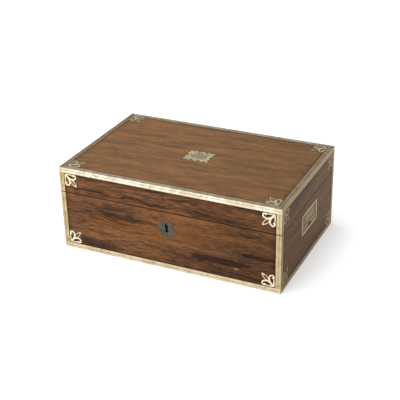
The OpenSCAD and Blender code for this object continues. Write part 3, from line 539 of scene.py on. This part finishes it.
def strip_brass(name, dull, bright, mottle):
    """Brass for the strips, with an engraved line, pins and waxy dirt at the inner edge."""
    finish, colour, dirt_and_shade, clouds, specks, rough = brass(name, dull, bright, mottle)
    edge = edge_distance(finish)
    end, front, top = depths(finish)
    runs_x = finish.step(end - front.most(top), -0.1, 0.1)
    runs_y = finish.step(front - end.most(top), -0.1, 0.1)
    runs = (runs_x, runs_y, 1 - runs_x - runs_y)
    # painted shade: the strips that run from front to back, on the ends, are darker
    colour = finish.blend(runs_y * 0.4, colour, paint(164, 138, 74))

    rows = zip(finish.place(), PIN_STARTS, PIN_SPACINGS, runs)
    from_pin = [(at - start).repeat(spacing) * run for at, start, spacing, run in rows]
    along = from_pin[0] + from_pin[1] + from_pin[2]
    pin = (along ** 2 + (edge - PIN_INSET) ** 2) ** 0.5
    ring = finish.band(pin, PIN_RADIUS, 0.12, 0.3)
    line = finish.band(edge, LINE_INSET, 0.25, 0.3)
    # the dark wax line, painted wider on the strips along the ends as shade
    wax = finish.step(edge + clouds * 1.2 + runs_y * 0.6, STRIP_WIDTH + 0.05, STRIP_WIDTH + 0.7)
    # painted shade of the gap between the lid and the base, with some dirt
    seam_shade_and_dirt = seam(finish, 0.5) * (1 - finish.step(finish.facing()[2], 0.5, 0.6))
    dirt_and_shade = dirt_and_shade.most(line * 0.28).most(wax * 0.85).most(ring * 0.75).most(seam_shade_and_dirt * 0.9)
    return tarnish_and_shade((finish, colour, dirt_and_shade, clouds, specks, rough))


# The top strips' brass is painted lighter than the uprights', as their front faces catch the light.
dress(strip_brass("brass_top_strips_painted_lit", paint(218, 203, 174), paint(247, 238, 217), 0.3),
      "lid_top_strips")
dress(strip_brass("brass_bottom_strips", paint(204, 186, 154), paint(228, 212, 182), 0.34),
      "base_bottom_strips")
dress(strip_brass("brass_uprights", paint(184, 164, 122), paint(206, 186, 146), 0.4),
      "base_corner_strips", "lid_corner_strips")


# %% [markdown]
# The sunk handle's plate and its bail lie in one plane, so only a dark line in the gap between them
# draws the bail: its outline, and its open middle between two arms and a wide grip. The line is
# painted shade of the narrow gap, with some dirt. Both pieces are rectangles, and the distance to a
# rectangle's outline is the larger of two distances. A fine bright border runs round the plate.

# %% Handle brass
BAIL_ARM = 5.3
BAIL_GRIP = 8.3
OPEN_TOP = 9


def handle_brass():
    parts = brass("handle_brass", paint(150, 132, 96), paint(182, 164, 124), 0.5, 0.4)
    finish, colour, dirt_and_shade, clouds, specks, rough = parts
    x, y, z = finish.place()

    def outline(low, high):
        """Distance from a rectangle's outline, below 0 inside it."""
        across = abs(y - (low.y + high.y) / 2) - (high.y - low.y) / 2
        up = abs(z - (low.z + high.z) / 2) - (high.z - low.z) / 2
        return across.most(up)

    border = outline(*corners_mm("handle_plate_right"))
    low, high = corners_mm("handle_bail_right")
    bail = outline(low, high)
    opening = outline(low + Vector((0, BAIL_ARM, BAIL_GRIP)), high + Vector((0, -BAIL_ARM, OPEN_TOP)))
    # painted shade in the gaps round the bail and round its open middle, with some dirt
    gap_shade_and_dirt = finish.band(bail, 0.3, 0.3, 0.5).most(finish.band(opening, 0.3, 0.3, 0.5))
    engraved = finish.band(border, -2.4, 0.1, 0.35) * 0.6
    rim = finish.step(border, -2.1, -1.6)
    hatch = finish.band((y * 0.8 + z).repeat(3.1), 0, 0.2, 0.6) * finish.step(bail, 0, -1) * 0.28
    colour = finish.blend(rim, colour, paint(206, 192, 160))
    dirt_and_shade = (dirt_and_shade * (1 - rim)).most(gap_shade_and_dirt * 0.9).most(engraved).most(hatch)
    return tarnish_and_shade((finish, colour, dirt_and_shade, clouds, specks, rough))


dress(handle_brass(), "handle_plate_left", "handle_plate_right", "handle_bail_left",
      "handle_bail_right")


# %% [markdown]
# ## Steel and plate
# The keyhole plate is steel that has gone dark grey, and brown towards its rim. The stains come from
# one cloudy noise, which also pushes the brown rim in and out.

# %% Dark steel
def dark_steel():
    finish = Finish("dark_steel", Metallic=0.6, Specular_IOR_Level=0.3)
    x, y, z = finish.place()
    mottle = finish.noise(finish.point(x, y, z), detail=4.0, roughness=0.65, scale=1 / 4)
    low, high = corners_mm("keyhole_escutcheon")
    from_middle = (x ** 2 + (z - (low.z + high.z) / 2) ** 2) ** 0.5
    colour = finish.ramp(mottle, [
        (0.34, paint(58, 57, 52)), (0.48, paint(82, 83, 77)), (0.6, paint(102, 104, 99)),
        (0.74, paint(84, 74, 58))])
    rust = finish.step(from_middle + mottle * 12, 13, 19)
    finish.drive("Base Color", finish.blend(rust * 0.8, colour, paint(104, 82, 56)))
    finish.drive("Roughness", 0.45 + mottle * 0.25)
    finish.relief(mottle, 0.00008)
    return finish


dress(dark_steel(), "keyhole_escutcheon", "lock_bolt", "hinge_pins")


# %% [markdown]
# The cartouche is silver plate on brass. Its border is cut with leaf lines, and its middle, where the
# silver has worn to a dull olive, has faint slanting lines. The middle is an oval, and slow noise bends
# the lines so that they look cut by hand.

# %% Worn plate
FIELD_HALF_X = 15.5
FIELD_HALF_Y = 10.5


def engraved_plate():
    finish = Finish("engraved_plate", Metallic=0.7)
    x, y, z = finish.place()
    at = finish.point(x, y, z)
    wear = finish.noise(at, detail=3.0, roughness=0.6, scale=1 / 6)
    fine = finish.noise(at, detail=2.0, scale=1 / 0.7)
    swirl = finish.noise(at, detail=1.0, scale=1 / 8) * 10
    field = finish.step((x / FIELD_HALF_X) ** 2 + (y / FIELD_HALF_Y) ** 2 + wear * 0.6, 1.15, 0.95)
    lines = finish.band((x + y * 0.7 + swirl).repeat(2.6), 0, 0.25, 0.5) * field * 0.5
    leaves = finish.band((swirl * 2 + x * y / 20).repeat(7), 0, 0.5, 0.8) * (1 - field) * 0.7
    cut = (fine * 0.15).most(lines).most(leaves)
    colour = finish.blend(finish.step(wear, 0.38, 0.62), paint(196, 190, 164), paint(222, 214, 192))
    colour = finish.blend(0.6, colour, paint(255, 242, 206))
    colour = finish.blend(field * (1.2 - wear * 1.1), colour, paint(166, 154, 106))
    finish.drive("Base Color", finish.blend(cut * 0.85, colour, paint(92, 82, 54)))
    finish.drive("Roughness", 0.28 + wear * 0.16 + cut * 0.2)
    finish.relief(1 - cut, 0.00006)
    return finish


dress(engraved_plate(), "lid_cartouche")


# %% [markdown]
# The lids of the boxes, jars and bottles are silver. Each is engine-turned: a machine cut fine wavy
# lines inside a plain border. The pattern lies round each lid's own middle, which is read from its
# solid. The left lid mirrors the right one, so the distance from the middle plane serves both. On a
# round lid the waves follow the angle, and on a long one they follow its length.

# %% Engine-turned silver
def on_vessel(finish, name):
    """How far a point lies out from a right-hand vessel's middle and along it, and its half size."""
    x, y, z = finish.place()
    low, high = corners_mm(name)
    middle = (low + high) / 2
    return abs(x) - middle.x, y - middle.y, (high - low) / 2


def silver(name, lid, round_lid):
    finish = Finish(name, Metallic=0.85)
    out, along, half = on_vessel(finish, lid)
    if round_lid:
        depth = half.x - (out ** 2 + along ** 2) ** 0.5
        wave = (along.turn(out) * 38 + depth.repeat(6) * 0.9).repeat(3.4)
    else:
        depth = (half.x - abs(out)).least(half.y - abs(along))
        wave = (along + out.repeat(7) * 0.8).repeat(2.6)
    top = finish.step(finish.facing()[2], 0.6, 0.8)
    border = finish.band(depth, 4.6, 0.2, 0.25).most(finish.band(depth, 2.2, 0.15, 0.2)) * top
    lines = finish.band(wave, 0, 0.3, 0.5) * finish.step(depth, 5.4, 5.6) * top
    cut = lines * 0.6 + border
    wear = finish.noise(finish.point(*finish.place()), detail=3.0, roughness=0.6, scale=1 / 16)
    colour = finish.blend(finish.step(wear, 0.3, 0.7), paint(230, 226, 214), paint(242, 238, 228))
    finish.drive("Base Color", finish.blend(cut * 0.6, colour, paint(104, 98, 84)))
    finish.drive("Roughness", 0.24 + wear * 0.1 + cut * 0.15)
    finish.relief(1 - cut, 0.00006)
    return finish


dress(silver("silver_box_lid", "brush_box_lid_right", False), "brush_box_lid_left",
      "brush_box_lid_right")
dress(silver("silver_jar_lid", "powder_jar_lid_right", True), "powder_jar_lid_left",
      "powder_jar_lid_right")
dress(silver("silver_cap", "scent_bottle_cap_right", True), "scent_bottle_cap_left",
      "scent_bottle_cap_right")


# %% [markdown]
# ## Glass and mirror
# The glass is clear and cut with upright flutes, which are hollows side by side. They could be cut into
# the solids, but a bump is enough on such small vessels. On the small square and round ones the flutes
# are counted by the angle, and on the long boxes by the way along the wall.

# %% Cut glass
LONG_VESSEL = 100


def cut_glass(name, vessel, flute):
    """Clear glass, cut with upright flutes all round, each that many millimetres wide."""
    finish = Finish(name, Transmission_Weight=0.88, IOR=1.5, Roughness=0.02,
                    Base_Color=paint(246, 250, 249))
    out, along, half = on_vessel(finish, vessel)
    round_it = along.turn(out) * half.x if 2 * half.y < LONG_VESSEL else out + along
    side = 1 - finish.facing()[2]
    finish.relief((round_it.repeat(flute) / flute) ** 2 * side, 0.0015)
    return finish


dress(cut_glass("box_glass", "brush_box_right", 6), "brush_box_left", "brush_box_right")
dress(cut_glass("jar_glass", "powder_jar_right", 5), "powder_jar_left", "powder_jar_right")
dress(cut_glass("bottle_glass", "scent_bottle_right", 7), "scent_bottle_left", "scent_bottle_right")


# %% [markdown]
# The silvering of the old mirror has spotted near its edges, where damp crept in. A speckled noise is
# held back more and more with the distance from the edge, and what is left of it is the spots.

# %% Old mirror
def mirror():
    finish = Finish("mirror", Metallic=1.0)
    x, y, z = finish.place()
    high = corners_mm("mirror_glass")[1]
    from_edge = (high.x - abs(x)).least(high.y - abs(y))
    specks = finish.noise(finish.point(x, y, z), detail=4.0, roughness=0.7, scale=1 / 5)
    spots = finish.step(specks - finish.step(from_edge, 1, 12) * 0.25, 0.52, 0.66) * 0.7
    finish.drive("Base Color", finish.blend(spots, paint(226, 229, 228), paint(92, 84, 70)))
    finish.drive("Roughness", 0.03 + spots * 0.4)
    return finish


dress(mirror(), "mirror_glass")


# %% [markdown]
# ## Velvet and baize
# Velvet shows its pile at a slant, so it has a sheen at grazing angles and pale marks where it was
# stroked. Baize under the box is felted wool: dull, with a fuzzy bump. One recipe makes both, with the
# pile's size in millimetres.

# %% Velvet and baize
def pile_cloth(name, dark, light, sheen, size):
    finish = Finish(name, Sheen_Weight=sheen, Sheen_Roughness=0.4, Specular_IOR_Level=0.1)
    at = finish.point(*finish.place())
    strokes = finish.noise(at, detail=2.0, scale=1 / 34)
    pile = finish.noise(at, detail=2.0, roughness=0.7, scale=1 / size)
    colour = finish.blend(finish.step(strokes, 0.35, 0.7), dark, light)
    finish.drive("Base Color", finish.shade(colour, 0.75 + pile * 0.5))
    finish.drive("Roughness", 0.85 + pile * 0.1)
    finish.relief(pile, 0.0002)
    return finish


velvet = pile_cloth("velvet", paint(42, 27, 56), paint(54, 36, 72), 0.45, 0.6)
baize = pile_cloth("baize", paint(40, 62, 44), paint(56, 82, 58), 0.2, 0.7)
print(velvet.material.name, "and", baize.material.name, "are ready")


# %% [markdown]
# ## Soft pieces
# The velvet pads are card covered with wadding and cloth, so their edges are rounded and their middle
# stands a little proud. Each takes the place of a plain solid. A cloth simulation could fill them, but
# they are thin and glued down. So we start from a cube of the pad's size, bevel and divide it, and
# lower its show face towards the rim by a formula.

# %% Helpers for soft pieces
def deselect():
    bpy.ops.object.select_all(action="DESELECT")


def settle(piece, finish):
    """Freezes a piece's place into its mesh and gives it a finish."""
    deselect()
    piece.select_set(True)
    bpy.context.view_layer.objects.active = piece
    bpy.ops.object.transform_apply(location=True, rotation=True, scale=True)
    piece.data.materials.clear()
    piece.data.materials.append(finish.material)


def block(name, low, high):
    """A cube primitive between two corners."""
    deselect()
    low, high = Vector(low), Vector(high)
    bpy.ops.mesh.primitive_cube_add(size=1, location=(low + high) / 2)
    piece = bpy.context.active_object
    piece.name = name
    piece.scale = high - low
    bpy.ops.object.transform_apply(location=True, rotation=True, scale=True)
    return piece


def shape(piece, steps, bevel, rounds=2):
    """Bevels a block's edges, and divides its faces into smaller ones."""
    bpy.context.view_layer.objects.active = piece
    bpy.ops.object.mode_set(mode="EDIT")
    bpy.ops.mesh.select_all(action="SELECT")
    bpy.ops.mesh.bevel(offset=bevel, segments=rounds)
    bpy.ops.mesh.select_all(action="SELECT")
    bpy.ops.mesh.subdivide(number_cuts=steps)
    bpy.ops.object.mode_set(mode="OBJECT")
    bpy.ops.object.shade_smooth_by_angle(angle=math.radians(50))


# %% [markdown]
# The formula is nearly flat over the whole pad and falls fast at the rim. The higher its power, the
# narrower the rim that slopes.

# %% Swell a pad
RIM_POWER = 8


def swell(piece, low, high, crown, up):
    """Draws a pad's show face in towards the rim, so that its middle stands proud by crown."""
    centre, half = (low + high) / 2, (high - low) / 2
    for vertex in piece.data.vertices:
        u = min(1, abs(vertex.co.x - centre.x) / half.x)
        v = min(1, abs(vertex.co.y - centre.y) / half.y)
        if (vertex.co.z - centre.z) * up > 0:
            rim = 1 - (1 - u ** RIM_POWER) * (1 - v ** RIM_POWER)
            vertex.co.z -= up * crown * rim
    piece.data.update()


def pad(name, low, high, crown, finish, up):
    """A thin pad between two corners, whose show face looks up, or down where up is -1."""
    piece = block(name, low, high)
    shape(piece, 5, min(high - low) * 0.3)
    swell(piece, low, high, crown, up)
    settle(piece, finish)
    return piece


# %% [markdown]
# A solid may be several separate pads, such as those in the tray's bays. `islands` finds the box of
# each: it merges the corners of a copy, separates its loose parts and measures each of them.

# %% Find the separate parts of a solid
def islands(name):
    """The lowest and highest corners of a solid's separate parts, from left to right."""
    copy = nodes[name].copy()
    copy.data = nodes[name].data.copy()
    bpy.context.scene.collection.objects.link(copy)
    deselect()
    copy.select_set(True)
    bpy.context.view_layer.objects.active = copy
    bpy.ops.object.mode_set(mode="EDIT")
    bpy.ops.mesh.select_all(action="SELECT")
    bpy.ops.mesh.remove_doubles(threshold=1e-6)
    bpy.ops.mesh.separate(type="LOOSE")
    bpy.ops.object.mode_set(mode="OBJECT")
    boxes = []
    for part in list(bpy.context.selected_objects):
        points = [vertex.co for vertex in part.data.vertices]
        low = Vector([min(p[i] for p in points) for i in range(3)])
        high = Vector([max(p[i] for p in points) for i in range(3)])
        boxes.append((low, high))
        mesh = part.data
        bpy.data.objects.remove(part)
        bpy.data.meshes.remove(mesh)
    return sorted(boxes, key=lambda box: (round(box[0].x, 4), round(box[0].y, 4)))


# %% [markdown]
# Now every pad is laid, and the pads of one solid become one object. It rides on the body that its
# solid was fixed to. The pad in the lid faces down, so it swells the other way.

# %% Lay the velvet pads
def join(pieces, name):
    """One object from several."""
    deselect()
    for piece in pieces:
        piece.select_set(True)
    bpy.context.view_layer.objects.active = pieces[0]
    bpy.ops.object.join()
    pieces[0].name = name
    return pieces[0]


def lay_pads(node, name, crown, body, up=1):
    boxes = islands(node)
    pads = [pad(f"{name}_{i}", low, high, crown, velvet, up) for i, (low, high) in enumerate(boxes)]
    piece = join(pads, name)
    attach(piece, body)
    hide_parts(node)
    print(name, len(piece.data.polygons), "faces in", len(pads), "pads")


lay_pads("tray_lining", "tray_pads", 0.0004, "tray")
lay_pads("well_floors", "well_floor_pads", 0.0008, "base")
lay_pads("floor_lining", "floor_pad", 0.0004, "base")
lay_pads("lid_lining", "lid_pad", 0.0006, "lid", up=-1)


# %% [markdown]
# The ring cushion is a row of wadded velvet rolls, squeezed together so that a ring stands in the
# groove between two of them. One roll is a cylinder laid on its side, squashed to the drawn height,
# with its ends rounded. It is copied along the bay.

# %% Ring rolls
ROLL_SIDES = 32
ROLL_END_BEVEL = 0.0018


def ring_rolls():
    low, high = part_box("ring_cushion")
    count = len(islands("ring_cushion"))
    pitch = (high.y - low.y) / count
    height = high.z - low.z
    deselect()
    bpy.ops.mesh.primitive_cylinder_add(
        vertices=ROLL_SIDES, radius=0.5, depth=1, location=(0, 0, 0), rotation=(0, math.pi / 2, 0))
    first_roll = bpy.context.active_object
    bpy.ops.object.transform_apply(location=True, rotation=True, scale=True)
    first_roll.scale = (high.x - low.x, pitch, height)
    bpy.ops.object.transform_apply(location=True, rotation=True, scale=True)
    bpy.ops.object.mode_set(mode="EDIT")
    bpy.ops.mesh.select_all(action="SELECT")
    bpy.ops.mesh.bevel(offset=ROLL_END_BEVEL, segments=3)
    bpy.ops.object.mode_set(mode="OBJECT")
    bpy.ops.object.shade_smooth_by_angle(angle=math.radians(60))
    rolls = []
    for i in range(count):
        roll = first_roll.copy()
        roll.data = first_roll.data.copy()
        bpy.context.scene.collection.objects.link(roll)
        roll.location = ((low.x + high.x) / 2, low.y + (i + 0.5) * pitch, low.z + height / 2)
        settle(roll, velvet)
        rolls.append(roll)
    bpy.data.objects.remove(first_roll)
    return join(rolls, "ring_rolls")


rolls = ring_rolls()
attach(rolls, "tray")
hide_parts("ring_cushion")
print("ring_rolls", len(rolls.data.polygons), "faces")


# %% [markdown]
# A sheet of baize is glued under the box, so that it doesn't scratch the table. It lies flat and
# stretched, so a thin block with softened edges is all it needs.

# %% Baize under the base
low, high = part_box("base_baize")
felt = block("felt_sheet", low, high)
shape(felt, 3, 0.0004, rounds=1)
settle(felt, baize)
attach(felt, "base")
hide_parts("base_baize")
print("felt_sheet", [round(v, 4) for v in high - low])


# %% [markdown]
# ## Floor and light
# The box stands on a plain white sheet under soft studio lamps. The floor is matt, so it keeps the
# box's soft shadow. It glows a little where the camera or a shiny surface looks at it, and more far
# away, so that it meets the white world without a horizon.

# %% Floor
FLOOR_SIZE = 16
GLOW_STARTS, GLOW_FULL = 500, 1800


def studio_floor():
    finish = Finish("floor_white", Base_Color=(0.9, 0.9, 0.9, 1), Roughness=0.9,
                    Specular_IOR_Level=0.1, Emission_Strength=1.0)
    seen = finish.add("ShaderNodeLightPath", output="Is Camera Ray")
    shine = finish.add("ShaderNodeLightPath", output="Is Glossy Ray")
    x, y, z = finish.place()
    far = finish.step((x ** 2 + y ** 2) ** 0.5, GLOW_STARTS, GLOW_FULL)
    glow = seen.most(shine) * (0.3 + far * 0.2)
    finish.drive("Emission Color", finish.point(glow, glow, glow))
    return finish


deselect()
bpy.ops.mesh.primitive_plane_add(size=FLOOR_SIZE, location=(0, 0, 0))
floor = bpy.context.active_object
floor.name = "floor"
settle(floor, studio_floor())
print("floor", FLOOR_SIZE, "metres across")


# %% [markdown]
# The world is white where the camera or the glass looks at it, but dimmer as a light and in
# reflections: a studio is dark above and behind, so the brass is bright only where it mirrors the
# floor. Each kind of ray that has a level of its own gets one Mix node.

# %% World
WORLD_LIGHT = 0.62
RAY_LEVELS = {"Is Glossy Ray": 0.34, "Is Transmission Ray": 1.0, "Is Camera Ray": 1.0}

world = bpy.data.worlds.new("studio")
bpy.context.scene.world = world
world.use_nodes = True
sky = world.node_tree
background = sky.nodes["Background"]
background.inputs["Color"].default_value = (1, 1, 1, 1)
rays = sky.nodes.new("ShaderNodeLightPath")
level = sky.nodes.new("ShaderNodeValue").outputs[0]
level.default_value = WORLD_LIGHT
for ray, ray_level in RAY_LEVELS.items():
    choice = sky.nodes.new("ShaderNodeMix")
    sky.links.new(rays.outputs[ray], choice.inputs[0])
    sky.links.new(level, choice.inputs[2])
    choice.inputs[3].default_value = ray_level
    level = choice.outputs[0]
sky.links.new(level, background.inputs["Strength"])
print("world", WORLD_LIGHT, "as a light, then", RAY_LEVELS)


# %% [markdown]
# A large lamp above, a little to the left, gives the shape and a short shadow, and a weaker one in
# front lifts the front. Large lamps close by make soft shadows.

# %% Lamps
LAMPS_AIM = Vector((0, 0, 0.06))


def lamp(name, place, size, power):
    """A round lamp at a place, that many metres across, aimed at the box."""
    light = bpy.data.lights.new(name, "AREA")
    light.shape = "DISK"
    light.size = size
    light.energy = power
    holder = bpy.data.objects.new(name, light)
    bpy.context.scene.collection.objects.link(holder)
    aim = (LAMPS_AIM - Vector(place)).to_track_quat("-Z", "Y").to_matrix()
    holder.matrix_world = Matrix.Translation(place) @ aim.to_4x4()
    print(name, "lamp,", power, "watts")


lamp("key", (-0.55, -0.5, 2.3), 2.2, 34)
lamp("front", (-0.4, -2.0, 0.9), 1.2, 10)
